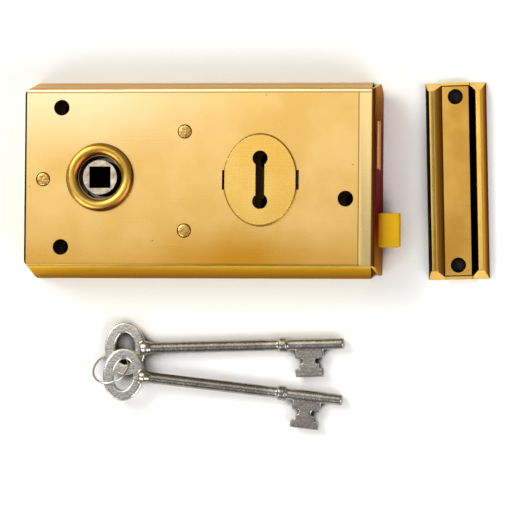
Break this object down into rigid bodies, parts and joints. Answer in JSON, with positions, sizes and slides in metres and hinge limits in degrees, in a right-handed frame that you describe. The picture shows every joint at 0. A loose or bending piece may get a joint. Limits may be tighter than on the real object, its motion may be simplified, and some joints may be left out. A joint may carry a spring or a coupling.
{
  "type": "rim sash lock",
  "caption": "Brass rim lock with a sprung latch bolt, a keyed deadbolt, an oval keyhole plate, its surface keep and keys on a wire ring, laid flat.",
  "frame": {"origin": "centre of the back of the lock case, on the face that lies against the door", "axes": "+X from the case towards the keep, the way both bolts shoot; +Y up the lock; +Z out of the lock's face, away from the door"},
  "size_m": [0.1819, 0.1367, 0.0266],
  "materials": {
    "lacquered_brass": "polished, fine straight grain, clear lacquer",
    "satin_brass": "satin",
    "brass_plated_steel": "dull brass plate on steel",
    "zinc_plated_steel": "zinc plated",
    "spring_steel": "oiled spring steel",
    "nickel_plate": "nickel plate over a cast key"
  },
  "bodies": {
    "case": {"case_cap": "lacquered_brass", "back_plate": "brass_plated_steel", "follower_collar": "lacquered_brass", "keyhole_escutcheon": "lacquered_brass", "pillar_rear": "zinc_plated_steel", "cap_rivet_rear": "satin_brass", "pillar_lever": "zinc_plated_steel", "cap_rivet_lever": "satin_brass", "pillar_latch": "zinc_plated_steel", "cap_rivet_latch": "satin_brass"},
    "follower": {"follower": "zinc_plated_steel"},
    "latch": {"latch_head": "satin_brass", "latch_tail": "zinc_plated_steel", "latch_spring": "spring_steel"},
    "deadbolt": {"deadbolt_head": "satin_brass", "deadbolt_tail": "zinc_plated_steel", "bolt_stump": "zinc_plated_steel"},
    "lever_lower": {"lever_lower": "satin_brass", "lever_spring_lower": "spring_steel"},
    "lever_upper": {"lever_upper": "satin_brass", "lever_spring_upper": "spring_steel"},
    "keep": {"keep_shell": "lacquered_brass", "keep_floor": "lacquered_brass"},
    "ring": {"key_ring": "nickel_plate"},
    "key_1": {"key_1": "nickel_plate"},
    "key_2": {"key_2": "nickel_plate"}
  },
  "joints": [
    {"name": "follower_turn", "type": "hinge", "parent": "case", "child": "follower", "pos_m": [-0.0388, 0, 0], "axis": [0, 0, 1], "range_deg": [-40, 0]},
    {"name": "latch_slide", "type": "slide", "parent": "case", "child": "latch", "axis": [1, 0, 0], "range_m": [-0.0084, 0], "stiffness_N_per_m": 120, "springref_m": 0.015, "deforming": ["latch_spring"]},
    {"name": "deadbolt_slide", "type": "slide", "parent": "case", "child": "deadbolt", "axis": [1, 0, 0], "range_m": [0, 0.012]},
    {"name": "lever_lower_pivot", "type": "hinge", "parent": "case", "child": "lever_lower", "pos_m": [-0.0053, 0.0179, 0.0136], "axis": [0, 0, 1], "range_deg": [-3.5, 0], "deforming": ["lever_spring_lower"]},
    {"name": "lever_upper_pivot", "type": "hinge", "parent": "case", "child": "lever_upper", "pos_m": [-0.0053, 0.0179, 0.0158], "axis": [0, 0, 1], "range_deg": [-3.5, 0], "deforming": ["lever_spring_upper"]},
    {"name": "keep_lift", "type": "slide", "parent": "case", "child": "keep", "axis": [0, 0, 1], "range_m": [0, 0.1]},
    {"name": "keys_lift", "type": "slide", "parent": "case", "child": "ring", "axis": [0, 0, 1], "range_m": [0, 0.1]},
    {"name": "key_1_swing", "type": "hinge", "parent": "ring", "child": "key_1", "pos_m": [-0.03182, -0.06996, 0.00337], "axis": [0, 0, 1], "range_deg": [0, 10]},
    {"name": "key_2_swing", "type": "hinge", "parent": "ring", "child": "key_2", "pos_m": [-0.0302, -0.07345, 0.00627], "axis": [0, 0, 1], "range_deg": [-10, 0]}
  ],
  "couplings": [
    {"joint": "follower_turn", "follows": "latch_slide", "rad_per_m": 83.1}
  ]
}
